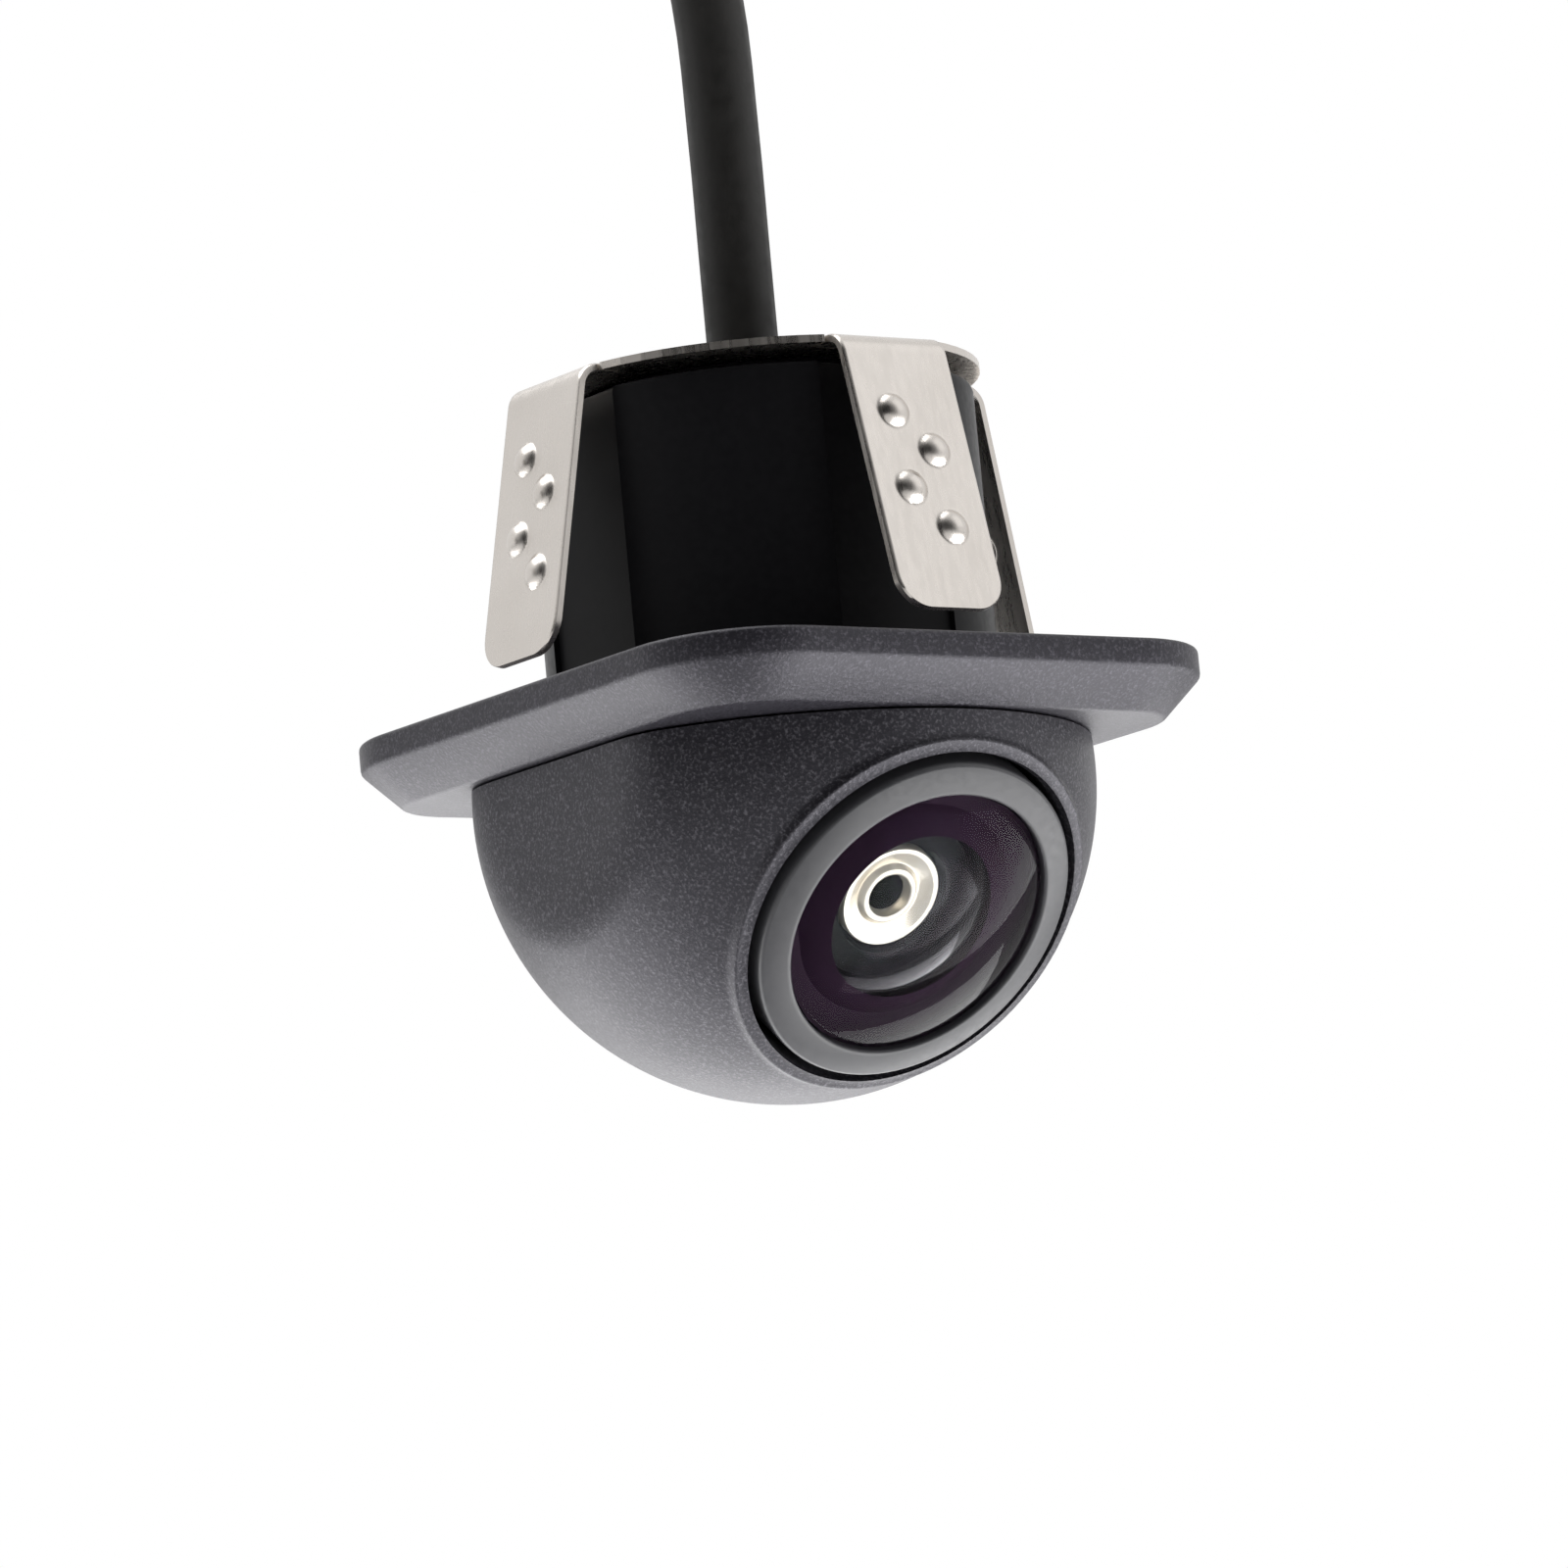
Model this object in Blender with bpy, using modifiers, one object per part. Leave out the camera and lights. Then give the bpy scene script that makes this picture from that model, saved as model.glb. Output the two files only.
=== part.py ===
"""Flush-mount backup camera with a four-legged spring clip, a coiled pigtail and a screw-collar plug.

Metres, +Z up along the barrel. The origin is on the barrel's axis, in the plane of the flange's seat.
The lens looks along -Y and down.
"""

from math import atan, cos, degrees, radians, sin, tan

import bmesh
import bpy
from mathutils import Matrix, Vector

MM = 0.001
SEAM = 0.05 * MM

# Flange and barrel
FLANGE_HALF_X = 15.2 * MM
FLANGE_HALF_Y = 16.25 * MM
FLANGE_CORNER = 5.75 * MM
FLANGE_BEVEL = 1.82 * MM
FLANGE_THICK = 3.12 * MM
BARREL_R = 10.5 * MM
BARREL_TOP = 13.8 * MM
BARREL_WALL = 1.6 * MM
BARREL_ROOF = 1.8 * MM
BARREL_INNER_R = BARREL_R - BARREL_WALL
CHANNEL_FLOOR = 9.75 * MM
CHANNEL_WIDTH = 6.4 * MM
BOSS_R = 8.0 * MM

# Dome
DOME_R = 14.47 * MM
DOME_Z = -4.4 * MM
DOME_FLAT_X = 12.9 * MM
DOME_CAVITY_R = 11.35 * MM
DOME_TOP = -FLANGE_THICK - 0.12 * MM

# Lens, along its own axis from the dome's centre
LENS_TILT = radians(40)
LENS_BORE_R = 8.5 * MM
COLLAR_R = 9.2 * MM
COLLAR_TOP = 11.4 * MM
BEZEL_R = 8.2 * MM
BEZEL_OPENING_R = 6.75 * MM
BEZEL_TOP = 12.3 * MM
BEZEL_BASE = 9.6 * MM
GLASS_R = 6.62 * MM
GLASS_CROWN = 13.65 * MM
GLASS_EDGE = 12.0 * MM
LENS_BARREL_R = 6.4 * MM
POST_HALF = 6.4 * MM
SENSOR_SCREW_AT = 5.5 * MM

# Clip
CLIP_UNDER = 14.5 * MM
CLIP_THICK = 0.35 * MM
CLIP_R = 10.9 * MM
CLIP_HOLE_R = 2.9 * MM
CLIP_SCREWS = [(4.2 * MM, 4.2 * MM), (-4.2 * MM, -4.2 * MM)]
TAB_ROOT = 9.4 * MM
LEG_R = 11.4 * MM
LEG_WIDTH = 5.9 * MM
LEG_END_Z = 1.4 * MM
LEG_CORNER = 1.6 * MM
BEND_R = 1.2 * MM
SPLAY = {"front": 12.5, "right": 8.5, "back": 12.5, "left": 12.5}
LEG_TURN = {"front": -90, "right": 0, "back": 90, "left": 180}
DIMPLE_PITCH = 1.92 * MM
DIMPLE_TOP_Z = 11.0 * MM
DIMPLE_SIDE = 0.9 * MM
DIMPLE_R = 0.85 * MM
DIMPLE_RISE = 0.42 * MM
DIMPLE_SUNK = 0.17 * MM

# Boards
BOARD_R = 8.4 * MM
BOARD_TOP = 7.2 * MM
WIRE_R = 0.33 * MM
WIRE_PITCH = 1.5 * MM
WIRE_ROW = 0.75 * MM
WIRE_TOP = 11.0 * MM

# Cable, coil and plug
CABLE_R = 1.7 * MM
BUSHING_TOP = 15.0 * MM
COIL_CENTRE = Vector((-74, -2, 0)) * MM
COIL_BASE = 4.2 * MM
COIL_MID_R = 19.0 * MM
COIL_HALF = 3.65 * MM
COIL_TOP = COIL_BASE + 2 * COIL_HALF
PLUG_START = Vector((-74.8, 8.15, 17.3)) * MM
PLUG_PIN_AT = 1.5 * MM
NUT_R = 5.5 * MM
NUT_GROOVE = 0.35 * MM

# The cable's hand-placed route, in millimetres: up from the barrel, over and down to the coil
ROUTE_UP = [
    (0, 0, 15.3), (0, 0, 21), (0, 0, 27), (-0.3, -0.1, 33.5), (-2, -0.5, 41), (-6.3, -1.6, 48.3),
    (-13, -3.4, 53.8), (-21, -5.6, 56.4), (-29.5, -8, 55.4), (-37.3, -10.3, 51), (-44, -12.5, 44.6),
    (-49.8, -14.4, 37.2), (-55, -16, 29.5), (-59.9, -17.3, 22.9), (-64.4, -18.2, 17.8), (-69, -18.8, 14.1),
]
# and from the coil's last turn round, over the coil, to the plug that lies on it
ROUTE_TAIL = [
    (-74, -22.85, 13.5), (-79, -22.85, 13.7), (-85.6, -21.4, 14.1), (-90.9, -17.3, 14.5), (-94, -11.35, 15),
    (-94.3, -4.65, 15.5), (-91.7, 1.55, 16), (-86.75, 6.1, 16.5), (-80.4, 8.1, 17), (-75.1, 8.15, 17.3),
]


def clear_scene():
    for obj in list(bpy.data.objects):
        bpy.data.objects.remove(obj)


def collection(name):
    made = bpy.data.collections.new(name)
    bpy.context.scene.collection.children.link(made)
    return made


def material(name, colour, roughness=0.5, metallic=0.0, alpha=1.0):
    made = bpy.data.materials.new(name)
    made.use_nodes = True
    shader = made.node_tree.nodes["Principled BSDF"]
    shader.inputs["Base Color"].default_value = (*colour, 1)
    shader.inputs["Roughness"].default_value = roughness
    shader.inputs["Metallic"].default_value = metallic
    shader.inputs["Alpha"].default_value = alpha
    return made


def link(name, mesh, mat, parent=None, group=None):
    obj = bpy.data.objects.new(name, mesh)
    (group or parts).objects.link(obj)
    if mat:
        mesh.materials.clear()
        mesh.materials.append(mat)
    obj.parent = parent
    return obj


def smooth(obj, angle=35):
    obj.data.shade_smooth()
    obj.data.set_sharp_from_angle(angle=radians(angle))
    return obj


def turned(name, profile, mat, steps=32, parent=None, group=None):
    """A solid of revolution about local Z. The profile runs down the outside, top to bottom."""
    mesh = bpy.data.meshes.new(name)
    shape = bmesh.new()
    points = [shape.verts.new((r, 0, z)) for r, z in profile]
    for first, second in zip(points, points[1:]):
        shape.edges.new((first, second))
    if profile[0][0] > 0:
        shape.edges.new((points[-1], points[0]))
    shape.to_mesh(mesh)
    shape.free()
    obj = link(name, mesh, mat, parent, group)
    screw = obj.modifiers.new("Turn", "SCREW")
    screw.steps = steps
    screw.render_steps = steps
    screw.use_merge_vertices = True
    screw.merge_threshold = 0.00001
    screw.use_smooth_shade = True
    return obj


def ring(name, inner, outer, low, high, mat, **options):
    return turned(name, [(outer, high), (outer, low), (inner, low), (inner, high)], mat, **options)


def disc(name, radius, low, high, mat, **options):
    return turned(name, [(0, high), (radius, high), (radius, low), (0, low)], mat, **options)


def block(name, size, centre, mat, bevel=0.0, parent=None, group=None):
    mesh = bpy.data.meshes.new(name)
    shape = bmesh.new()
    bmesh.ops.create_cube(shape, size=1)
    bmesh.ops.scale(shape, vec=size, verts=shape.verts)
    if bevel:
        bmesh.ops.bevel(shape, geom=list(shape.edges), offset=bevel, segments=1, affect="EDGES")
    shape.to_mesh(mesh)
    shape.free()
    obj = link(name, mesh, mat, parent, group)
    obj.location = centre
    return obj


def meshed(curve, name, mat, parent=None, group=None):
    """The curve's evaluated mesh as a new object in its place, with its caps welded."""
    bpy.context.view_layer.update()
    evaluated = curve.evaluated_get(bpy.context.evaluated_depsgraph_get())
    mesh = bpy.data.meshes.new_from_object(evaluated)
    shape = bmesh.new()
    shape.from_mesh(mesh)
    bmesh.ops.remove_doubles(shape, verts=shape.verts, dist=0.00001)
    shape.to_mesh(mesh)
    shape.free()
    obj = link(name, mesh, mat, parent, group)
    obj.matrix_world = curve.matrix_world.copy()
    bpy.data.objects.remove(curve)
    return obj


def slab(name, outline, thickness, mat, parent=None, group=None):
    """A flat outline in local XY, extruded to both sides of its plane."""
    data = bpy.data.curves.new(name, "CURVE")
    data.dimensions = "2D"
    data.fill_mode = "BOTH"
    data.extrude = thickness / 2
    spline = data.splines.new("POLY")
    spline.points.add(len(outline) - 1)
    for point, (x, y) in zip(spline.points, outline):
        point.co = (x, y, 0, 1)
    spline.use_cyclic_u = True
    curve = bpy.data.objects.new(name + "_outline", data)
    parts.objects.link(curve)
    return meshed(curve, name, mat, parent, group)


def tube(name, points, radius, mat, sides=2, parent=None):
    data = bpy.data.curves.new(name, "CURVE")
    data.dimensions = "3D"
    data.bevel_depth = radius
    data.bevel_resolution = sides
    data.use_fill_caps = True
    spline = data.splines.new("POLY")
    spline.points.add(len(points) - 1)
    for point, co in zip(spline.points, points):
        point.co = (*co, 1)
    obj = bpy.data.objects.new(name, data)
    data.materials.append(mat)
    parts.objects.link(obj)
    obj.parent = parent
    return obj


def change(obj, cutter, operation="DIFFERENCE"):
    boolean = obj.modifiers.new(operation.title(), "BOOLEAN")
    boolean.operation = operation
    boolean.solver = "EXACT"
    boolean.object = cutter
    cutter.hide_render = True
    cutter.display_type = "WIRE"


def arc(centre, radius, start, stop, count):
    """Points on an arc, with its angles in degrees from the first axis."""
    angles = [radians(start + (stop - start) * i / (count - 1)) for i in range(count)]
    return [(centre[0] + radius * cos(a), centre[1] + radius * sin(a)) for a in angles]


def cap(radius, rise, top, count):
    """The profile of a spherical cap, from its crown down to its rim."""
    ball = (radius**2 + rise**2) / (2 * rise)
    span = 90 - degrees(atan((ball - rise) / radius))
    points = arc((0, top - ball), ball, 90, 90 - span, count)
    points[0] = (0, top)
    return points


def smooth_path(route, spacing):
    """Evenly spaced points on a Catmull-Rom curve through the route's points."""
    knots = [Vector(p) * MM for p in route]
    knots = [2 * knots[0] - knots[1], *knots, 2 * knots[-1] - knots[-2]]
    fine = []
    for a, b, c, d in zip(knots, knots[1:], knots[2:], knots[3:]):
        for step in range(16):
            t = step / 16
            fine.append(
                0.5 * (2 * b + (c - a) * t + (2 * a - 5 * b + 4 * c - d) * t**2 + (3 * b - a - 3 * c + d) * t**3)
            )
    fine.append(knots[-2])
    lengths = [0.0]
    for first, second in zip(fine, fine[1:]):
        lengths.append(lengths[-1] + (second - first).length)
    count = max(2, round(lengths[-1] / spacing))
    path = []
    index = 0
    for step in range(count + 1):
        wanted = lengths[-1] * step / count
        while index < len(fine) - 2 and lengths[index + 1] < wanted:
            index += 1
        share = (wanted - lengths[index]) / (lengths[index + 1] - lengths[index])
        path.append(fine[index].lerp(fine[index + 1], min(share, 1)))
    return path


def empty(name, location, rotation=(0, 0, 0), parent=None):
    made = bpy.data.objects.new(name, None)
    parts.objects.link(made)
    made.location = location
    made.rotation_euler = rotation
    made.parent = parent
    return made


def flange_block():
    """The flange: a block with rounded upright corners and a bevelled underside."""
    mesh = bpy.data.meshes.new("housing")
    shape = bmesh.new()
    bmesh.ops.create_cube(shape, size=1)
    bmesh.ops.scale(shape, vec=(2 * FLANGE_HALF_X, 2 * FLANGE_HALF_Y, FLANGE_THICK), verts=shape.verts)
    bmesh.ops.translate(shape, vec=(0, 0, -FLANGE_THICK / 2), verts=shape.verts)
    upright = [e for e in shape.edges if abs(e.verts[0].co.z - e.verts[1].co.z) > FLANGE_THICK / 2]
    bmesh.ops.bevel(shape, geom=upright, offset=FLANGE_CORNER, segments=8, profile=0.5, affect="EDGES")
    under = [e for e in shape.edges if all(v.co.z < -FLANGE_THICK * 0.99 for v in e.verts)]
    bmesh.ops.bevel(shape, geom=under, offset=FLANGE_BEVEL, segments=1, affect="EDGES")
    shape.to_mesh(mesh)
    shape.free()
    return link("housing", mesh, plastic)


def make_housing():
    housing = flange_block()
    chamfer = 0.25 * MM
    barrel = turned(
        "barrel_form",
        [
            (0, CLIP_UNDER - SEAM), (BOSS_R, CLIP_UNDER - SEAM), (BOSS_R, BARREL_TOP),
            (BARREL_R - chamfer, BARREL_TOP), (BARREL_R, BARREL_TOP - chamfer), (BARREL_R, -MM), (0, -MM),
        ],
        plastic, steps=64, group=cutters,
    )
    change(housing, barrel, "UNION")
    for turn in LEG_TURN.values():
        depth = 2 * MM
        channel = block(
            "channel_cutter", (depth, CHANNEL_WIDTH, 2 * BARREL_TOP), (0, 0, 0), None, group=cutters
        )
        angle = radians(turn)
        reach = CHANNEL_FLOOR + depth / 2
        channel.location = (reach * cos(angle), reach * sin(angle), BARREL_TOP + SEAM)
        channel.rotation_euler = (0, 0, angle)
        change(housing, channel)
    hollow = disc(
        "hollow_cutter", BARREL_INNER_R, -FLANGE_THICK - MM, BARREL_TOP - BARREL_ROOF, None,
        steps=48, group=cutters,
    )
    change(housing, hollow)
    cable_hole = disc("cable_hole_cutter", CLIP_HOLE_R, MM, CLIP_UNDER + MM, None, steps=24, group=cutters)
    change(housing, cable_hole)
    for x, y in CLIP_SCREWS:
        pilot = disc("pilot_cutter", 0.75 * MM, 11 * MM, CLIP_UNDER + MM, None, steps=12, group=cutters)
        pilot.location = (x, y, 0)
        change(housing, pilot)
    smooth(housing)


def make_dome():
    outer = arc((0, DOME_Z), DOME_R, 0, -90, 13)
    outer[-1] = (0, DOME_Z - DOME_R)
    inner = arc((0, DOME_Z), DOME_CAVITY_R, -90, 0, 8)
    inner[0] = (0, DOME_Z - DOME_CAVITY_R)
    dome = turned("dome_shell", [(0, DOME_TOP), (DOME_R, DOME_TOP), *outer], textured, steps=56)
    cavity = turned(
        "cavity_cutter", [(0, DOME_TOP + MM), (DOME_CAVITY_R, DOME_TOP + MM), *reversed(inner)], None,
        steps=40, group=cutters,
    )
    collar = turned(
        "collar_form",
        [
            (LENS_BORE_R - 0.4 * MM, COLLAR_TOP - 0.02 * MM), (LENS_BORE_R + 0.1 * MM, COLLAR_TOP),
            (LENS_BORE_R + 0.35 * MM, COLLAR_TOP - 0.05 * MM), (COLLAR_R - 0.1 * MM, COLLAR_TOP - 0.35 * MM),
            (COLLAR_R, COLLAR_TOP - 0.8 * MM), (COLLAR_R, 8.5 * MM), (LENS_BORE_R - 0.4 * MM, 8.5 * MM),
        ],
        textured, steps=56, parent=lens_axis, group=cutters,
    )
    change(dome, collar, "UNION")
    for side in (-1, 1):
        width = 4 * MM
        flat = block(
            "flat_cutter", (width, 2.4 * DOME_R, 2.4 * DOME_R),
            (side * (DOME_FLAT_X + width / 2), 0, DOME_Z), None, group=cutters,
        )
        change(dome, flat)
    change(dome, cavity)
    lid = block(
        "lid_cutter", (3 * DOME_R, 3 * DOME_R, 4 * MM), (0, 0, DOME_TOP + 2 * MM), None, group=cutters
    )
    change(dome, lid)
    bore = disc("bore_cutter", LENS_BORE_R, 4 * MM, 16 * MM, None, steps=56, parent=lens_axis, group=cutters)
    change(dome, bore)
    smooth(dome, 28)
    ring("dome_seal", 10.0 * MM, 11.2 * MM, DOME_TOP - 0.9 * MM, DOME_TOP, rubber)


def make_lens():
    turned(
        "bezel",
        [
            (BEZEL_OPENING_R + 0.12 * MM, BEZEL_TOP), (BEZEL_R - 0.12 * MM, BEZEL_TOP - 0.5 * MM),
            (BEZEL_R, BEZEL_TOP - 0.62 * MM), (BEZEL_R, BEZEL_BASE), (BEZEL_OPENING_R - 0.05 * MM, BEZEL_BASE),
            (BEZEL_OPENING_R - 0.05 * MM, BEZEL_TOP - 0.12 * MM),
        ],
        satin, steps=56, parent=lens_axis,
    )
    glass_base = 10.3 * MM
    bowl_rise = 1.9 * MM
    crown = cap(GLASS_R, GLASS_CROWN - GLASS_EDGE, GLASS_CROWN, 9)
    bowl = reversed(cap(5.2 * MM, bowl_rise, glass_base + bowl_rise, 7))
    turned("front_glass", [*crown, (GLASS_R, glass_base), *bowl], glass, steps=40, parent=lens_axis)
    ring("lens_seal", 5.35 * MM, 6.45 * MM, 9.85 * MM, 10.25 * MM, rubber, steps=32, parent=lens_axis)
    turned(
        "lens_barrel",
        [
            (4.2 * MM, 9.8 * MM), (6.55 * MM, 9.8 * MM), (6.55 * MM, 9.5 * MM), (8.0 * MM, 9.5 * MM),
            (8.0 * MM, 8.6 * MM), (LENS_BARREL_R, 8.6 * MM), (LENS_BARREL_R, 2.1 * MM),
            (5.4 * MM, 1.9 * MM), (5.4 * MM, -0.4 * MM), (2.3 * MM, -0.4 * MM), (2.3 * MM, 1.6 * MM),
            (2.75 * MM, 1.6 * MM), (2.75 * MM, 9.4 * MM), (4.05 * MM, 9.4 * MM), (4.05 * MM, 9.65 * MM),
        ],
        black_metal, steps=40, parent=lens_axis,
    )
    inner_r = 3.95 * MM
    inner_base = 9.5 * MM
    inner_crown = cap(inner_r, 1.15 * MM, 11.0 * MM, 6)
    turned(
        "inner_lens", [*inner_crown, (inner_r, inner_base), (0, inner_base)], glass, steps=28, parent=lens_axis
    )
    turned(
        "inner_ring",
        [
            (0.9 * MM, 9.3 * MM), (2.14 * MM, 9.3 * MM), (2.14 * MM, 8.7 * MM), (2.65 * MM, 8.7 * MM),
            (2.65 * MM, 8.0 * MM), (0.9 * MM, 8.0 * MM),
        ],
        gold, steps=28, parent=lens_axis,
    )
    ring("aperture_stop", 0.75 * MM, 2.65 * MM, 6.3 * MM, 6.6 * MM, black_metal, steps=20, parent=lens_axis)
    disc("rear_lens", 2.65 * MM, 1.7 * MM, 5.2 * MM, glass, steps=20, parent=lens_axis)


def make_sensor():
    holder = block(
        "lens_holder", (2 * POST_HALF, 2 * POST_HALF, 4.4 * MM), (0, 0, -0.6 * MM), plastic, 0.3 * MM, lens_axis
    )
    bore = disc("holder_bore_cutter", 5.5 * MM, -1.1 * MM, 4 * MM, None, steps=32, parent=lens_axis, group=cutters)
    change(holder, bore)
    pocket = block(
        "pocket_cutter", (9 * MM, 9 * MM, 4 * MM), (0, 0, -3.0 * MM), None, parent=lens_axis, group=cutters
    )
    change(holder, pocket)
    board = block("sensor_board", (14 * MM, 14 * MM, MM), (0, 0, -3.4 * MM), pcb, 0, lens_axis)
    for index, x in enumerate((-1, 1), 1):
        place = Vector((x, -x, 0)) * SENSOR_SCREW_AT
        for target, low, high in ((holder, -4, -1.6), (board, -5, -1)):
            hole = disc("screw_hole_cutter", 0.65 * MM, low * MM, high * MM, None, steps=12, parent=lens_axis,
                        group=cutters)
            hole.location = place
            change(target, hole)
        screw = turned(
            f"sensor_screw_{index}",
            [
                (0, -1.8 * MM), (0.55 * MM, -1.8 * MM), (0.55 * MM, -3.95 * MM), (1.1 * MM, -3.95 * MM),
                (1.1 * MM, -4.5 * MM), (0, -4.5 * MM),
            ],
            steel, steps=12, parent=lens_axis,
        )
        screw.location = place
    block("ir_filter", (7.6 * MM, 7.6 * MM, 0.4 * MM), (0, 0, -1.4 * MM), filter_glass, 0, lens_axis)
    block("image_sensor", (6.2 * MM, 5.4 * MM, 0.9 * MM), (0, 0, -2.4 * MM), silicon, 0, lens_axis)


def make_electronics():
    disc("processor_board", BOARD_R, BOARD_TOP - 0.8 * MM, BOARD_TOP, pcb, steps=40)
    block("processor", (6 * MM, 6 * MM, 0.9 * MM), Vector((-3.4, 2.6, 7.7)) * MM, silicon)
    block("crystal", (3.2 * MM, 1.5 * MM, 0.9 * MM), Vector((-3, -3.4, 7.7)) * MM, steel, 0.15 * MM)
    capacitor = disc("capacitor", 1.5 * MM, 0, 2.6 * MM, steel, steps=20)
    capacitor.location = Vector((4.6, 3.9, 7.25)) * MM
    block("board_connector", (6.2 * MM, 2.4 * MM, 1.7 * MM), Vector((2.6, -4.6, 8.1)) * MM, pale_plastic,
          0.2 * MM)
    for index in range(4):
        start = Vector((0.35 * MM + WIRE_PITCH * index, -4.6 * MM, 9.0 * MM))
        finish = Vector((WIRE_ROW * (index - 1.5), 0, WIRE_TOP))
        middle = start.lerp(finish, 0.5) + Vector((0, -0.4, 0.1)) * MM
        lift = Vector((0, 0, 0.5)) * MM
        tube(f"wire_{index + 1}", [start, start + lift, middle, finish - lift / 2, finish], WIRE_R,
             wire_colours[index], sides=0)
    ring("cable_bushing", 1.9 * MM, CLIP_HOLE_R - 0.15 * MM, 11.4 * MM, BUSHING_TOP, rubber, steps=24)
    disc("cable_core", 1.8 * MM, 11.3 * MM, BUSHING_TOP - 0.02 * MM, rubber, steps=20)


def make_clip():
    plate = ring(
        "clip_plate", CLIP_HOLE_R, CLIP_R, CLIP_UNDER, CLIP_UNDER + CLIP_THICK, steel, steps=64
    )
    notch_length = 4 * MM
    for turn in LEG_TURN.values():
        angle = radians(turn)
        reach = TAB_ROOT - SEAM + notch_length / 2
        notch = block(
            "tab_cutter", (notch_length, LEG_WIDTH + 0.2 * MM, 3 * MM), (0, 0, 0), None, group=cutters
        )
        notch.location = (reach * cos(angle), reach * sin(angle), CLIP_UNDER)
        notch.rotation_euler = (0, 0, angle)
        change(plate, notch)
    for index, (x, y) in enumerate(CLIP_SCREWS, 1):
        hole = disc("clip_hole_cutter", 0.85 * MM, 12 * MM, 17 * MM, None, steps=12, group=cutters)
        hole.location = (x, y, 0)
        change(plate, hole)
        top = CLIP_UNDER + CLIP_THICK + 0.05 * MM
        screw = turned(
            f"clip_screw_{index}",
            [
                (0, top + 0.5 * MM), (1.0 * MM, top + 0.5 * MM), (1.5 * MM, top + 0.15 * MM), (1.5 * MM, top),
                (0.65 * MM, top), (0.65 * MM, 12.3 * MM), (0, 12.3 * MM),
            ],
            steel, steps=16,
        )
        screw.location = (x, y, 0)
    for name in LEG_TURN:
        make_leg(name)


def make_leg(name):
    """A leg in its own frame: the origin is on its flex line, X points outward and Z up."""
    splay = radians(SPLAY[name])
    pivot_z = CLIP_UNDER + CLIP_THICK / 2
    half = CLIP_THICK / 2
    slope = Vector((sin(splay), -cos(splay)))
    normal = Vector((cos(splay), sin(splay)))
    foot_r = LEG_R + (CLIP_UNDER - LEG_END_Z) * tan(splay)
    foot = Vector((foot_r - TAB_ROOT, LEG_END_Z - pivot_z))
    centre = Vector((LEG_R - TAB_ROOT - BEND_R * 0.78, half - BEND_R))
    outer = arc(centre, BEND_R, 90, SPLAY[name], 5)
    inner = arc(centre, BEND_R - CLIP_THICK, SPLAY[name], 90, 5)
    last = Vector(outer[-1])
    length = (foot - last).dot(slope)
    foot_out = last + slope * length
    foot_in = foot_out - normal * CLIP_THICK
    outline = [(0, -half), (0, half), *outer, tuple(foot_out), tuple(foot_in), *inner]
    root = empty(f"{name}_leg_flex", (0, 0, 0))
    angle = radians(LEG_TURN[name])
    root.location = (TAB_ROOT * cos(angle), TAB_ROOT * sin(angle), pivot_z)
    root.rotation_euler = (0, 0, angle)
    leg = slab(f"leg_{name}", outline, LEG_WIDTH, steel)
    leg.data.transform(Matrix.Rotation(radians(90), 4, "X"))
    round_foot(leg.data, foot_out)
    leg.parent = root
    leg.matrix_parent_inverse = Matrix()
    leg.matrix_basis = Matrix()
    for index in range(4):
        drop = (pivot_z + last.y - DIMPLE_TOP_Z) / cos(splay) + index * DIMPLE_PITCH
        surface = last + slope * drop
        side = DIMPLE_SIDE if index % 2 else -DIMPLE_SIDE
        dimple = make_dimple(f"dimple_{name}_{index}", surface, normal, side, root)
        change(leg, dimple, "UNION")
    smooth(leg, 30)


def round_foot(mesh, foot):
    """Rounds the two corners at the foot of a leg."""
    shape = bmesh.new()
    shape.from_mesh(mesh)
    bmesh.ops.recalc_face_normals(shape, faces=shape.faces)
    corner = [
        e for e in shape.edges
        if all(v.co.z < foot.y + 0.2 * MM for v in e.verts)
        and abs(e.verts[0].co.y - e.verts[1].co.y) < SEAM
    ]
    bmesh.ops.bevel(shape, geom=corner, offset=LEG_CORNER, segments=5, profile=0.5, affect="EDGES")
    shape.to_mesh(mesh)
    shape.free()


def make_dimple(name, surface, normal, side, parent):
    """A low round cap that stands out of the leg's outer face."""
    profile = [*cap(DIMPLE_R, DIMPLE_RISE, DIMPLE_RISE, 4), (DIMPLE_R, -DIMPLE_SUNK), (0, -DIMPLE_SUNK)]
    dimple = turned(name, profile, steel, steps=16, parent=parent, group=cutters)
    dimple.location = (surface.x, side, surface.y)
    dimple.rotation_euler = (0, atan(normal.x / normal.y), 0)
    return dimple


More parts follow.
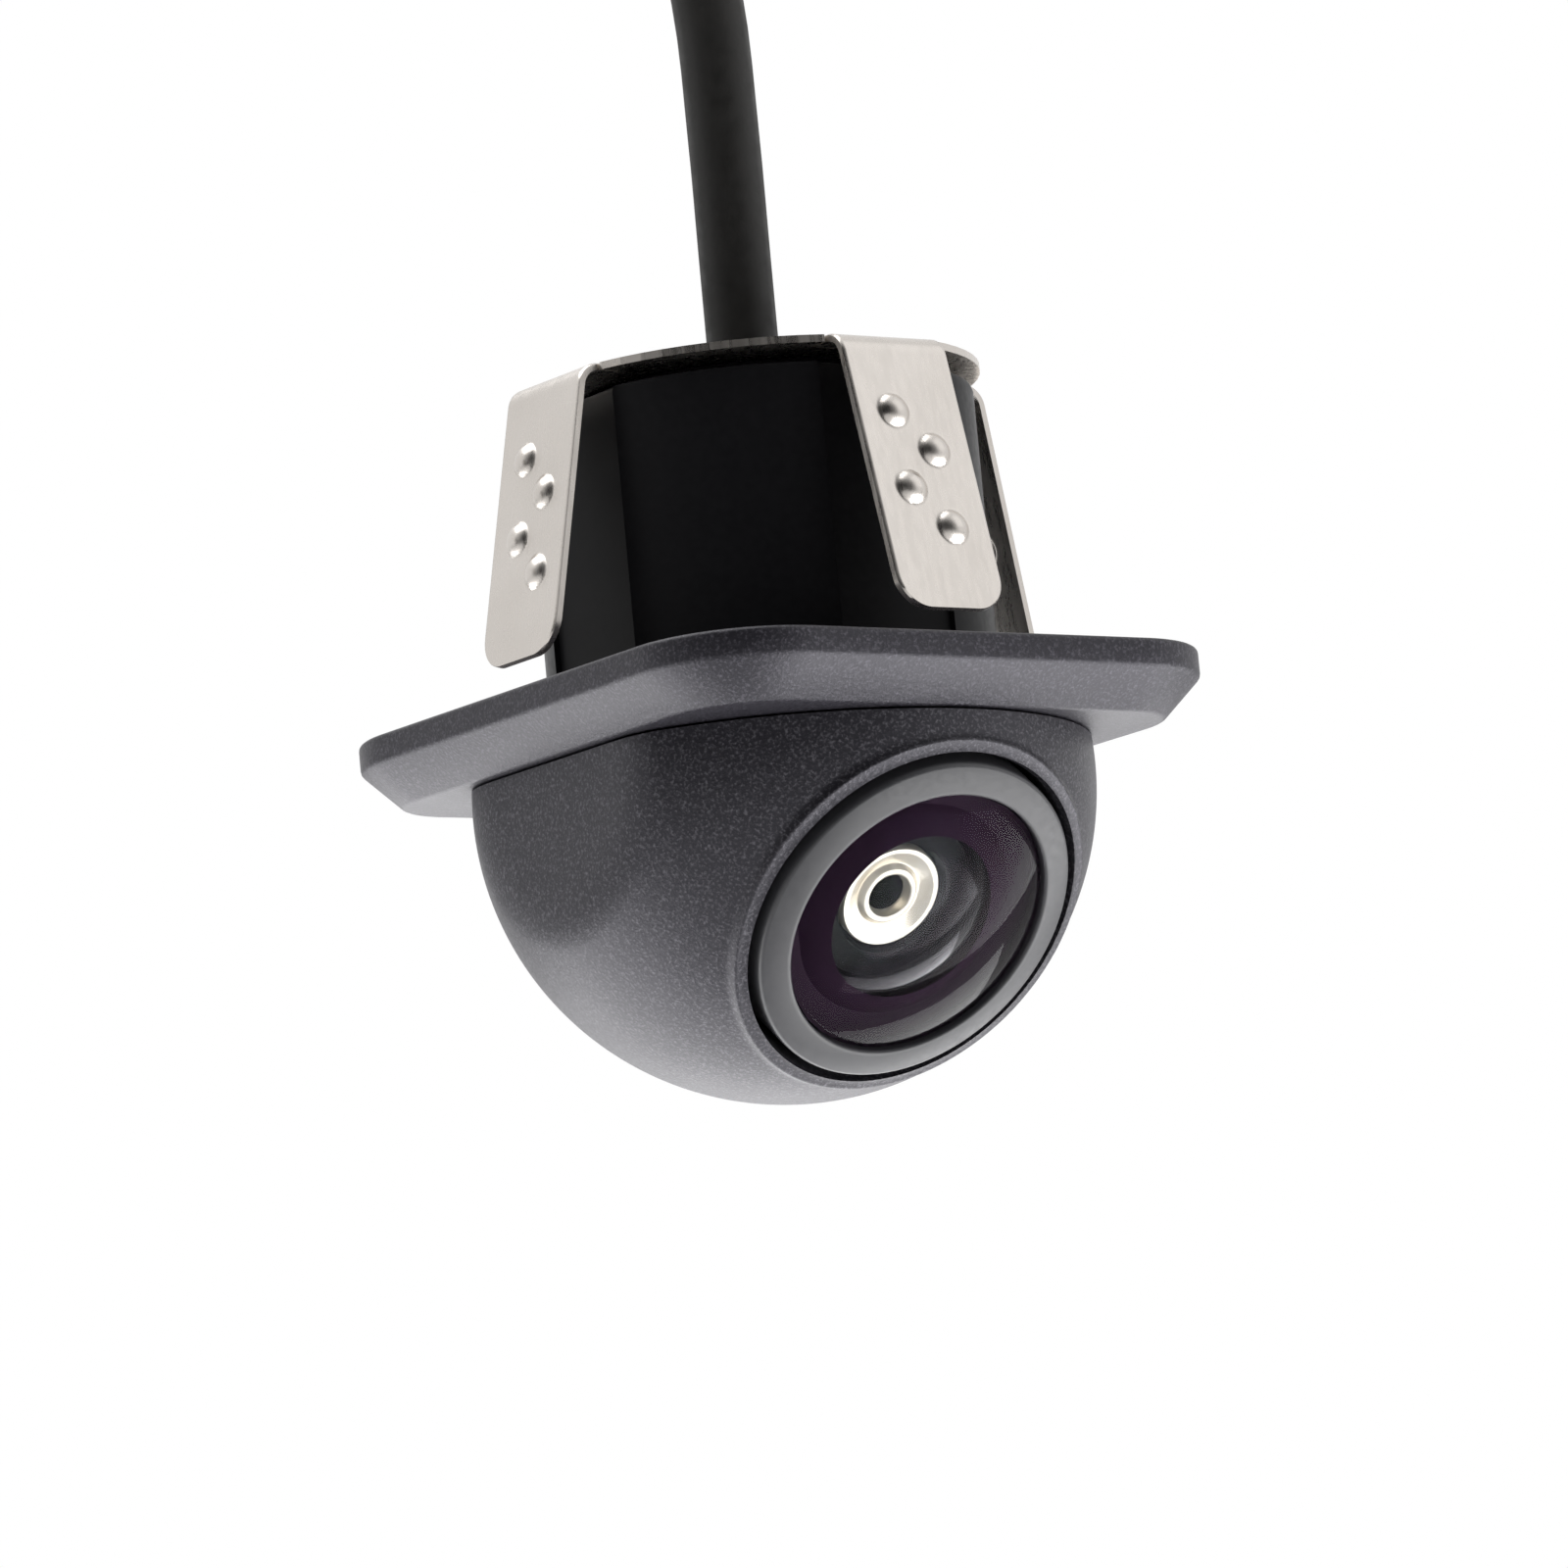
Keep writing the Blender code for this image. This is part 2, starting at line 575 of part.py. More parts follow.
def make_cable():
    tube("cable", smooth_path(ROUTE_UP, 8.5 * MM), CABLE_R, cable_black)
    tube("cable_tail", smooth_path(ROUTE_TAIL, 6 * MM), CABLE_R, cable_black)
    edge = 1.5 * MM
    low, high = COIL_BASE, COIL_TOP
    inner, outer = COIL_MID_R - COIL_HALF, COIL_MID_R + COIL_HALF
    coil = turned(
        "cable_coil",
        [
            (inner + edge, high), (outer - edge, high), (outer, high - edge), (outer, low + edge),
            (outer - edge, low), (inner + edge, low), (inner, low + edge), (inner, high - edge),
        ],
        cable_black, steps=36,
    )
    coil.location = COIL_CENTRE
    tie_half = COIL_HALF + 0.3 * MM
    strap = 0.75 * MM
    tie = block(
        "coil_tie", (3 * MM, 2 * (tie_half + strap), 2 * (tie_half + strap)),
        COIL_CENTRE + Vector((0, COIL_MID_R, COIL_BASE + COIL_HALF)), rubber, 0.6 * MM,
    )
    inside = block(
        "tie_cutter", (6 * MM, 2 * tie_half, 2 * tie_half), tie.location, None, group=cutters
    )
    change(tie, inside)


def make_plug():
    """The plug lies along +X, on its own axis line."""
    axis = empty("plug_axis", PLUG_START, (0, radians(90), 0))
    turned(
        "plug_relief",
        [
            (0, 8 * MM), (3.6 * MM, 8 * MM), (3.6 * MM, 5 * MM), (2.9 * MM, 3.6 * MM), (2.3 * MM, 0), (0, 0),
        ],
        rubber, steps=24, parent=axis,
    )
    body = turned(
        "plug_body",
        [
            (3.1 * MM, 26 * MM), (3.6 * MM, 26 * MM), (3.6 * MM, 17.7 * MM), (4.9 * MM, 17.7 * MM),
            (4.9 * MM, 16.2 * MM), (4.3 * MM, 16.2 * MM), (4.3 * MM, 8.3 * MM), (0, 8.3 * MM), (0, 18.4 * MM),
            (3.1 * MM, 18.4 * MM),
        ],
        plastic, steps=28, parent=axis,
    )
    key = block("key_cutter", (1.2 * MM, 1.2 * MM, 3 * MM), Vector((0, 3.5, 26)) * MM, None, parent=axis,
                group=cutters)
    change(body, key)
    ring("plug_seal", 3.65 * MM, 4.3 * MM, 17.75 * MM, 18.8 * MM, orange_rubber, steps=20, parent=axis)
    insert = disc("plug_insert", 3.0 * MM, 18.5 * MM, 21 * MM, pale_plastic, steps=24, parent=axis)
    for index in range(4):
        angle = radians(45 + 90 * index)
        place = Vector((cos(angle), sin(angle), 0)) * PLUG_PIN_AT
        hole = disc("pin_hole_cutter", 0.5 * MM, 17 * MM, 22 * MM, None, steps=12, parent=axis, group=cutters)
        hole.location = place
        change(insert, hole)
        pin = turned(
            f"plug_pin_{index + 1}",
            [
                (0, 25 * MM), (0.25 * MM, 25 * MM), (0.45 * MM, 24.6 * MM), (0.45 * MM, 18.6 * MM),
                (0, 18.6 * MM),
            ],
            gold, steps=10, parent=axis,
        )
        pin.location = place
    nut = turned(
        "plug_nut",
        [
            (4.95 * MM, 28 * MM), (NUT_R, 27.6 * MM), (NUT_R, 16.6 * MM), (5.2 * MM, 15.4 * MM),
            (4.4 * MM, 15.4 * MM), (4.4 * MM, 16.1 * MM), (5.0 * MM, 16.1 * MM), (5.0 * MM, 27.5 * MM),
        ],
        steel, steps=40, parent=axis,
    )
    for index in range(12):
        angle = radians(30 * index)
        width = 0.6 * MM
        rib = block("grip_cutter", (width, 0.8 * MM, 8 * MM), (0, 0, 0), None, parent=axis, group=cutters)
        reach = NUT_R - NUT_GROOVE + width / 2
        rib.location = (reach * cos(angle), reach * sin(angle), 22 * MM)
        rib.rotation_euler = (0, 0, angle)
        change(nut, rib)


clear_scene()
parts = collection("backup_camera")
cutters = collection("cutters")
plastic = material("housing_plastic", (0.02, 0.02, 0.022), 0.45)
textured = material("dome_plastic", (0.03, 0.03, 0.032), 0.5)
satin = material("bezel_satin", (0.15, 0.15, 0.155), 0.35)
glass = material("lens_glass", (0.05, 0.04, 0.06), 0.03, 0.0, 0.35)
filter_glass = material("filter_glass", (0.2, 0.3, 0.35), 0.05, 0.0, 0.35)
black_metal = material("lens_black", (0.01, 0.01, 0.01), 0.4, 0.3)
steel = material("spring_steel", (0.62, 0.6, 0.57), 0.3, 1.0)
gold = material("contact_gold", (0.83, 0.68, 0.4), 0.25, 1.0)
rubber = material("rubber", (0.015, 0.015, 0.015), 0.7)
orange_rubber = material("seal_rubber", (0.75, 0.25, 0.05), 0.6)
cable_black = material("cable_jacket", (0.018, 0.016, 0.015), 0.55)
pcb = material("circuit_board", (0.02, 0.16, 0.07), 0.4)
silicon = material("chip_black", (0.03, 0.03, 0.035), 0.35)
pale_plastic = material("connector_plastic", (0.75, 0.73, 0.66), 0.5)
wire_colours = [
    material("wire_red", (0.6, 0.02, 0.02), 0.5),
    material("wire_black", (0.02, 0.02, 0.02), 0.5),
    material("wire_yellow", (0.75, 0.55, 0.03), 0.5),
    material("wire_white", (0.8, 0.8, 0.78), 0.5),
]
# Local +Z of this empty is the way the lens looks.
lens_axis = empty("lens_axis", (0, 0, DOME_Z), (radians(90) + LENS_TILT, 0, 0))

make_housing()
make_dome()
make_lens()
make_sensor()
make_electronics()
make_clip()
make_cable()
make_plug()
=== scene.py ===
"""Looks for the flush-mount backup camera: materials, fine pieces, cord, light and camera."""

from math import acos, atan2, cos, degrees, pi, radians, sin, sqrt, tan

import bmesh
import bpy
from mathutils import Matrix, Vector


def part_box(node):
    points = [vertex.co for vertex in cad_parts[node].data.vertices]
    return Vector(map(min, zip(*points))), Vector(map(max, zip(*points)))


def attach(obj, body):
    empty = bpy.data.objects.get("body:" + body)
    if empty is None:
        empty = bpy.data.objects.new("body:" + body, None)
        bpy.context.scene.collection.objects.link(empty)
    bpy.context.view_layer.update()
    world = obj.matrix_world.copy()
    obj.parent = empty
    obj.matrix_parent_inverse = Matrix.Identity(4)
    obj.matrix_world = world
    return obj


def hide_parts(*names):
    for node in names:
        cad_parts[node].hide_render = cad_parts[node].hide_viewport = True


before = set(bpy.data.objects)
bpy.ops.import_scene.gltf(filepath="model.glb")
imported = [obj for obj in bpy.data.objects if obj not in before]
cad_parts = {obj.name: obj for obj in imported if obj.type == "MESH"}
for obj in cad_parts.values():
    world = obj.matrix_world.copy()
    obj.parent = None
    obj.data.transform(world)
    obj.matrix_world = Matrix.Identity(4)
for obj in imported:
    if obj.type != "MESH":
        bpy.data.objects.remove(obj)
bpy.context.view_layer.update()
MM = 0.001

# Camera
AZIMUTH = radians(-36.4)
ELEVATION = radians(-9.3)
ROLL = radians(-5.3)
DISTANCE = 0.4587
TARGET = Vector((0.4, 0.5, -3.9)) * MM
LENS = 227
FLOOR_Z = -0.14

# Flange and barrel
FLANGE_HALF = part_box("housing")[1]
FLANGE_CORNER = 5.75 * MM
FLANGE_THICK = 3.12 * MM
BARREL_R = 10.5 * MM
HOLLOW_R = 8.9 * MM
HOLLOW_TOP = 12.0 * MM
CHANNEL_FLOOR = 9.75 * MM
CHANNEL_HALF = 3.2 * MM
FLANGE_RIM = 0.25 * MM
# Sections in mm: how far in from the flange's outline or out from the barrel's face, or the radius, then the height
FLANGE_SECTION = ((2.0, -3.12), (1.9, -3.105), (1.76, -3.04), (0.12, -1.42), (0.03, -1.3), (0, -1.16))
BARREL_SECTION = ((0.35, 0), (0.12, 0.08), (0, 0.35), (0, 13.5), (-0.08, 13.72), (-0.3, 13.8))
TOP_SECTION = (
    (8.2, 13.8), (8.05, 13.85), (8.0, 14.0), (8.0, 14.3), (7.95, 14.4), (7.8, 14.45), (3.05, 14.45),
    (2.93, 14.4), (2.9, 14.3), (2.9, 12.0),
)
TEXTURE_TOP = 0.2 * MM

# Dome, round its own centre, and the lens on its own axis from there
DOME_R = 14.47 * MM
DOME_CENTRE = Vector((0, 0, -4.4)) * MM
DOME_FLAT_X = 12.9 * MM
DOME_CAVITY_R = 11.35 * MM
DOME_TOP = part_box("dome_shell")[1][2]
LENS_TILT = radians(40)
LENS_BORE_R = 8.5 * MM
COLLAR_R = 9.2 * MM
COLLAR_TOP = 11.4 * MM
GLASS_R = 6.62 * MM
GLASS_CROWN = 13.65 * MM
GLASS_EDGE = 12.0 * MM
GLASS_BASE = 10.3 * MM
BOWL_R = 5.2 * MM
BOWL_RISE = 1.9 * MM
CLEAR_R = 3.9 * MM
INNER_LENS_R = 3.95 * MM
INNER_LENS_CROWN = 11.0 * MM
INNER_LENS_EDGE = 9.85 * MM
INNER_LENS_BASE = 9.5 * MM
RING_SEAT = 8.74 * MM
# Sections of the bezel and the ring under the inner lens in mm: radius, height. The ring's light yellowish colour
# is a painted reflection
BEZEL_SECTION = (
    (8.2, 9.6), (8.2, 11.62), (8.18, 11.8), (8.12, 11.91), (8.02, 11.97), (6.97, 12.24), (6.88, 12.26),
    (6.8, 12.25), (6.73, 12.19), (6.7, 12.08), (6.7, 9.6),
)
RING_SECTION = (
    (0.9, 8.0), (2.65, 8.0), (2.65, 8.7), (2.5, 8.7), (2.44, 8.76), (2.44, 9.2), (2.38, 9.28), (2.24, 9.3),
    (2.1, 9.26), (1.62, 9.0), (1.5, 8.98), (1.42, 9.04), (1.34, 9.16), (1.26, 9.2), (1.1, 9.2), (1.04, 9.16),
    (0.96, 8.9), (0.9, 8.8),
)

# Clip legs
CLIP_THICK = 0.35 * MM
CLIP_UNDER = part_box("clip_plate")[0][2]
TAB_ROOT = 9.4 * MM
LEG_R = 11.4 * MM
LEG_HALF = 2.95 * MM
LEG_END_Z = 1.4 * MM
LEG_CORNER = 1.6 * MM
BEND_R = 1.2 * MM
SPLAY = {"front": 12.5, "right": 8.5, "back": 12.5, "left": 12.5}
LEG_TURN = {"front": -90, "right": 0, "back": 90, "left": 180}
DIMPLE_PITCH = 1.92 * MM
DIMPLE_TOP_Z = 11.0 * MM
DIMPLE_SIDE = 0.9 * MM
DIMPLE_R = 0.85 * MM
DIMPLE_RISE = 0.42 * MM

# Cord
CABLE_R = 1.7 * MM
COIL_CENTRE = Vector((-74, -2, 0)) * MM
COIL_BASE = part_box("cable_coil")[0][2]
TURN_OUTER = 20.85 * MM
TURN_INNER = 17.15 * MM
LAYER_LOW = COIL_BASE + 1.75 * MM
LAYER_HIGH = LAYER_LOW + 3.7 * MM
ROUTE_UP = [
    (0, 0, 15.3), (0, 0, 21), (0, 0, 27), (-0.3, -0.1, 33.5), (-2, -0.5, 41), (-6.3, -1.6, 48.3),
    (-13, -3.4, 53.8), (-21, -5.6, 56.4), (-29.5, -8, 55.4), (-37.3, -10.3, 51), (-44, -12.5, 44.6),
    (-49.8, -14.4, 37.2), (-55, -16, 29.5), (-59.9, -17.3, 22.9), (-64.4, -18.2, 17.8), (-69, -18.8, 14.1),
]
ROUTE_TAIL = [
    (-74, -22.85, 13.5), (-79, -22.85, 13.7), (-85.6, -21.4, 14.1), (-90.9, -17.3, 14.5), (-94, -11.35, 15),
    (-94.3, -4.65, 15.5), (-91.7, 1.55, 16), (-86.75, 6.1, 16.5), (-80.4, 8.1, 17), (-75.1, 8.15, 17.3),
]


def add_camera():
    data = bpy.data.cameras.new("camera")
    data.lens = LENS
    data.sensor_width = 36
    data.clip_start = 0.01
    data.clip_end = 20
    camera = bpy.data.objects.new("camera", data)
    bpy.context.scene.collection.objects.link(camera)
    back = Vector((sin(AZIMUTH) * cos(ELEVATION), -cos(AZIMUTH) * cos(ELEVATION), sin(ELEVATION)))
    level = Vector((cos(AZIMUTH), sin(AZIMUTH), 0))
    upright = back.cross(level)
    right = level * cos(ROLL) + upright * sin(ROLL)
    up = upright * cos(ROLL) - level * sin(ROLL)
    turn = Matrix((right, up, back)).transposed()
    camera.matrix_world = Matrix.Translation(TARGET + DISTANCE * back) @ turn.to_4x4()
    bpy.context.scene.camera = camera


def smooth_path(points, steps=10):
    """Points on a Catmull-Rom curve through the given ones."""
    knots = [2 * points[0] - points[1], *points, 2 * points[-1] - points[-2]]
    path = []
    for a, b, c, d in zip(knots, knots[1:], knots[2:], knots[3:]):
        for step in range(steps):
            t = step / steps
            path.append(
                0.5 * (2 * b + (c - a) * t + (2 * a - 5 * b + 4 * c - d) * t**2 + (3 * b - a - 3 * c + d) * t**3)
            )
    return [*path, points[-1]]


def ramp(value, start, stop):
    """0 before start, 1 after stop, and smooth between them."""
    t = min(max((value - start) / (stop - start), 0), 1)
    return t * t * (3 - 2 * t)


def coil_point(turned):
    """The cord's centre after that many degrees of clockwise winding from the coil's front."""
    step = LAYER_HIGH - LAYER_LOW
    radius = TURN_INNER + (TURN_OUTER - TURN_INNER) * ramp(turned, 600, 700)
    entry = 2 * MM * (1 - min(turned / 34, 1)) ** 2
    leaving = 3.85 * MM * ramp(turned, 1300, 1390)
    height = LAYER_LOW + step * (1 - ramp(turned, 265, 355)) + step * ramp(turned, 940, 1030) + entry + leaving
    angle = radians(-90 - turned)
    return COIL_CENTRE + Vector((radius * cos(angle), radius * sin(angle), height))


def cord_curve(name, points, radius, material):
    data = bpy.data.curves.new(name, "CURVE")
    data.dimensions = "3D"
    data.bevel_depth = radius
    data.bevel_resolution = 6
    data.use_fill_caps = True
    spline = data.splines.new("POLY")
    spline.points.add(len(points) - 1)
    for point, co in zip(spline.points, points):
        point.co = (*co, 1)
    spline.use_smooth = True
    obj = bpy.data.objects.new(name, data)
    data.materials.append(material)
    bpy.context.scene.collection.objects.link(obj)
    return obj


def add_cord(material):
    start = [Vector(p) * MM for p in ROUTE_UP]
    wound = [coil_point(turned) for turned in range(0, 1426, 15)]
    finish = [Vector(p) * MM for p in ROUTE_TAIL]
    points = smooth_path([*start, *wound, *finish], 4)
    cord = cord_curve("cable_run", points, CABLE_R, material)
    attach(cord, "camera")
    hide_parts("cable", "cable_coil", "cable_tail")
    pieces = ["plug_relief", "plug_body", "plug_nut", "plug_seal", "plug_insert", "coil_tie"]
    pieces += [f"plug_pin_{index}" for index in range(1, 5)]


def node(tree, kind, sockets=None, **settings):
    """A new shader node, with its settings and its input sockets given a value or a link."""
    made = tree.nodes.new(kind)
    for key, value in settings.items():
        setattr(made, key, value)
    for key, value in (sockets or {}).items():
        if isinstance(value, bpy.types.NodeSocket):
            tree.links.new(value, made.inputs[key])
        else:
            made.inputs[key].default_value = value
    return made


def principled(name, colour, roughness=0.5, metallic=0.0):
    material = bpy.data.materials.new(name)
    material.use_nodes = True
    shader = material.node_tree.nodes["Principled BSDF"]
    shader.inputs["Base Color"].default_value = (*colour, 1)
    shader.inputs["Roughness"].default_value = roughness
    shader.inputs["Metallic"].default_value = metallic
    return material, material.node_tree, shader


def noise(tree, scale, detail=2.0, roughness=0.5, stretch=(1, 1, 1)):
    """A noise value in the object's own coordinates; scale is in cells per metre."""
    place = node(tree, "ShaderNodeTexCoord").outputs["Object"]
    if stretch != (1, 1, 1):
        place = node(tree, "ShaderNodeMapping", {"Vector": place, "Scale": stretch}).outputs["Vector"]
    made = node(
        tree, "ShaderNodeTexNoise", {"Vector": place, "Scale": scale, "Detail": detail, "Roughness": roughness}
    )
    return made.outputs["Fac"]


def spread(tree, value, low, high, start=0.3, stop=0.7):
    """Maps a noise value onto the range from low to high."""
    made = node(
        tree, "ShaderNodeMapRange",
        {"Value": value, "From Min": start, "From Max": stop, "To Min": low, "To Max": high},
    )
    return made.outputs["Result"]


def blend_colour(tree, factor, first, second):
    made = node(tree, "ShaderNodeMix", data_type="RGBA")
    tree.links.new(factor, made.inputs["Factor"])
    made.inputs[6].default_value = (*first, 1)
    made.inputs[7].default_value = (*second, 1)
    return made.outputs[2]


def bump(tree, shader, height, distance, strength=1.0):
    made = node(tree, "ShaderNodeBump", {"Height": height, "Distance": distance, "Strength": strength})
    tree.links.new(made.outputs["Normal"], shader.inputs["Normal"])
    return made


def plain_material(name, colour, shade, roughness, metallic=0.0, grain=2500, depth=0.004 * MM):
    """A surface whose colour, roughness and height vary a little with one fine noise."""
    material, tree, shader = principled(name, colour, roughness, metallic)
    grit = noise(tree, grain)
    tree.links.new(blend_colour(tree, grit, colour, shade), shader.inputs["Base Color"])
    tree.links.new(spread(tree, grit, roughness * 0.85, roughness * 1.15), shader.inputs["Roughness"])
    bump(tree, shader, grit, depth)
    return material


def set_specular(material, level):
    """Sets how much a plain surface reflects, where 0.5 is usual."""
    material.node_tree.nodes["Principled BSDF"].inputs["Specular IOR Level"].default_value = level


def spark_plastic(name, dark, light):
    """Black plastic with a spark-eroded texture: its grain as a bump, and pale specks in the base colour that are
    partly the grain's own tone and partly painted glints and sheen.
    """
    material, tree, shader = principled(name, dark, 0.42)
    shader.inputs["Specular Tint"].default_value = (0.93, 0.91, 1.0, 1)
    fine = noise(tree, 6800, 3, 0.65)
    coarse = noise(tree, 2300, 2)
    grit = node(tree, "ShaderNodeMath", {0: fine, 1: spread(tree, coarse, 0, 0.3)}, operation="ADD").outputs[0]
    # The light colour is partly painted light: pale specks standing in for the glints and sheen off the eroded
    # grain
    painted_glints = spread(tree, fine, 0, 1, 0.5, 0.8)
    tree.links.new(spread(tree, noise(tree, 90), 0.4, 0.48), shader.inputs["Roughness"])
    tree.links.new(blend_colour(tree, painted_glints, dark, light), shader.inputs["Base Color"])
    bump(tree, shader, grit, 0.035 * MM, 0.7)
    return material


def smooth_plastic(name, dark, light):
    """The same black plastic where the mould is plain."""
    material, tree, shader = principled(name, dark, 0.36)
    set_specular(material, 0.06)
    grit = noise(tree, 2400, 2)
    tree.links.new(blend_colour(tree, grit, dark, light), shader.inputs["Base Color"])
    tree.links.new(spread(tree, grit, 0.33, 0.4), shader.inputs["Roughness"])
    bump(tree, shader, grit, 0.006 * MM, 0.3)
    return material


def rolled_steel(name, colour, shade, roughness):
    """Rolled strip, with faint streaks along Z."""
    material, tree, shader = principled(name, colour, roughness, 1.0)
    streaks = noise(tree, 1, 3, 0.6, (3400, 3400, 120))
    cloud = noise(tree, 260, 2)
    tree.links.new(blend_colour(tree, cloud, colour, shade), shader.inputs["Base Color"])
    tree.links.new(spread(tree, streaks, roughness * 0.8, roughness * 1.25), shader.inputs["Roughness"])
    bump(tree, shader, streaks, 0.004 * MM, 0.5)
    return material


def clear_glass(name, tint, coat, roughness):
    """Glass whose index is set low, because its coating takes most of the reflection away."""
    material, tree, shader = principled(name, tint, roughness)
    shader.inputs["Transmission Weight"].default_value = 1.0
    shader.inputs["IOR"].default_value = 1.16
    shader.inputs["Specular Tint"].default_value = (*coat, 1)
    film = noise(tree, 400)
    tree.links.new(spread(tree, film, roughness * 0.5, roughness * 1.5), shader.inputs["Roughness"])
    return material


def sheet_mesh(name, loops, material, joined=False, capped=False):
    """A surface lofted through loops of equally many points, as an object of its own."""
    mesh = bpy.data.meshes.new(name)
    shape = bmesh.new()
    rows = [[shape.verts.new(point) for point in loop] for loop in loops]
    pairs = list(zip(rows, rows[1:]))
    if joined:
        pairs.append((rows[-1], rows[0]))
    for first, second in pairs:
        for index, vert in enumerate(first):
            after = (index + 1) % len(first)
            shape.faces.new((vert, first[after], second[after], second[index]))
    if capped:
        shape.faces.new(rows[0])
        shape.faces.new(rows[-1])
    bmesh.ops.recalc_face_normals(shape, faces=shape.faces)
    shape.to_mesh(mesh)
    shape.free()
    mesh.materials.append(material)
    mesh.shade_smooth()
    mesh.set_sharp_from_angle(angle=radians(38))
    obj = bpy.data.objects.new(name, mesh)
    bpy.context.scene.collection.objects.link(obj)
    return obj


def lens_matrix():
    """Takes local +Z to the way the lens looks, from the dome's centre."""
    return Matrix.Translation(DOME_CENTRE) @ Matrix.Rotation(radians(90) + LENS_TILT, 4, "X")


def turned_loops(profile, steps):
    """One loop round the lens axis for each (radius, height) point."""
    place = lens_matrix()
    angles = [2 * pi * index / steps for index in range(steps)]
    return [
        [place @ Vector((radius * cos(angle), radius * sin(angle), height)) for angle in angles]
        for radius, height in profile
    ]


def paint(piece, material, wanted):
    """Gives a second material to the faces whose middle, in the lens's own frame, is wanted."""
    piece.data.materials.append(material)
    inward = lens_matrix().inverted()
    for face in piece.data.polygons:
        if wanted(inward @ face.center):
            face.material_index = 1


def flange_edge(angle):
    """The flange's outline in that direction: the point and its outward normal."""
    along = Vector((cos(angle), sin(angle)))
    half = Vector((FLANGE_HALF[0], FLANGE_HALF[1]))
    reach = min(half.x / max(abs(along.x), 1e-9), half.y / max(abs(along.y), 1e-9))
    point = along * reach
    corner = Vector((
        (half.x - FLANGE_CORNER) * (1 if along.x > 0 else -1), (half.y - FLANGE_CORNER) * (1 if along.y > 0 else -1)
    ))
    if abs(point.x) > abs(corner.x) and abs(point.y) > abs(corner.y):
        across = along.dot(corner)
        point = along * (across + sqrt(across**2 - corner.length_squared + FLANGE_CORNER**2))
        return point, (point - corner).normalized()
    if half.x * abs(along.y) > half.y * abs(along.x):
        return point, Vector((0, 1 if along.y > 0 else -1))
    return point, Vector((1 if along.x > 0 else -1, 0))


def barrel_radius(angle):
    """The barrel's radius, less inside the four flat channels behind the legs."""
    from_leg = (angle + pi / 4) % (pi / 2) - pi / 4
    if abs(BARREL_R * sin(from_leg)) < CHANNEL_HALF:
        return CHANNEL_FLOOR / cos(from_leg)
    return BARREL_R


def housing_angles():
    edge = degrees(atan2(CHANNEL_HALF, sqrt(BARREL_R**2 - CHANNEL_HALF**2)))
    steps = [float(step) for step in range(360)]
    for turn in range(0, 360, 90):
        for side in (-edge, edge):
            steps += [(turn + side - 0.08) % 360, (turn + side + 0.08) % 360]
    return [radians(step) for step in sorted(steps)]


def add_housing(textured, plain):
    """The flange and barrel, as loops of (kind, inward step or radius, height) from its underside round."""
    profile = [("round", HOLLOW_R, -FLANGE_THICK)]
    for inward, height in FLANGE_SECTION:
        profile.append(("flange", inward * MM, height * MM))
    for step in range(5):
        turn = radians(90 * step / 4)
        profile.append(("flange", FLANGE_RIM * (1 - cos(turn)), -FLANGE_RIM * (1 - sin(turn))))
    for outward, height in BARREL_SECTION:
        profile.append(("barrel", outward * MM, height * MM))
    for radius, height in TOP_SECTION:
        profile.append(("round", radius * MM, height * MM))
    profile.append(("round", HOLLOW_R, HOLLOW_TOP))
    loops = []
    angles = housing_angles()
    for kind, size, height in profile:
        loop = []
        for angle in angles:
            if kind == "flange":
                point, outward = flange_edge(angle)
                flat = point - outward * size
            else:
                radius = size if kind == "round" else barrel_radius(angle) + size
                flat = Vector((radius * cos(angle), radius * sin(angle)))
            loop.append(Vector((flat.x, flat.y, height)))
        loops.append(loop)
    piece = sheet_mesh("housing_fine", loops, textured, joined=True)
    piece.data.materials.append(plain)
    for face in piece.data.polygons:
        if face.center.z > TEXTURE_TOP:
            face.material_index = 1
    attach(piece, "camera")
    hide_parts("housing")


def soft_least(first, second, blend):
    """The lesser of two lengths, with the corner between them rounded."""
    share = max(blend - abs(first - second), 0) / blend
    return min(first, second) - share * share * blend / 4


def dome_reach(direction, from_axis):
    """How far the dome's outer face is from its centre in that direction."""
    flat = DOME_FLAT_X / max(abs(direction.x), 1e-6)
    shell = soft_least(DOME_R, flat, 0.7 * MM)
    top = COLLAR_TOP / max(cos(from_axis), 0.2)
    collar = soft_least(top, COLLAR_R / sin(from_axis), 0.18 * MM)
    return -soft_least(-shell, -collar, 0.4 * MM)


def lens_direction(from_axis, round_axis):
    turned = Matrix.Rotation(radians(90) + LENS_TILT, 3, "X")
    return turned @ Vector((sin(from_axis) * cos(round_axis), sin(from_axis) * sin(round_axis), cos(from_axis)))


def crossing(reach, start, round_axis):
    """The angle from the lens axis where a face, given by its reach, meets the dome's top plane."""
    low, high = start, radians(160)
    for _ in range(40):
        middle = (low + high) / 2
        direction = lens_direction(middle, round_axis)
        if DOME_CENTRE.z + (direction * reach(direction, middle)).z < DOME_TOP:
            low = middle
        else:
            high = middle
    return low


def inner_reach(_direction, from_axis):
    return max(DOME_CAVITY_R, LENS_BORE_R / max(sin(from_axis), 1e-6))


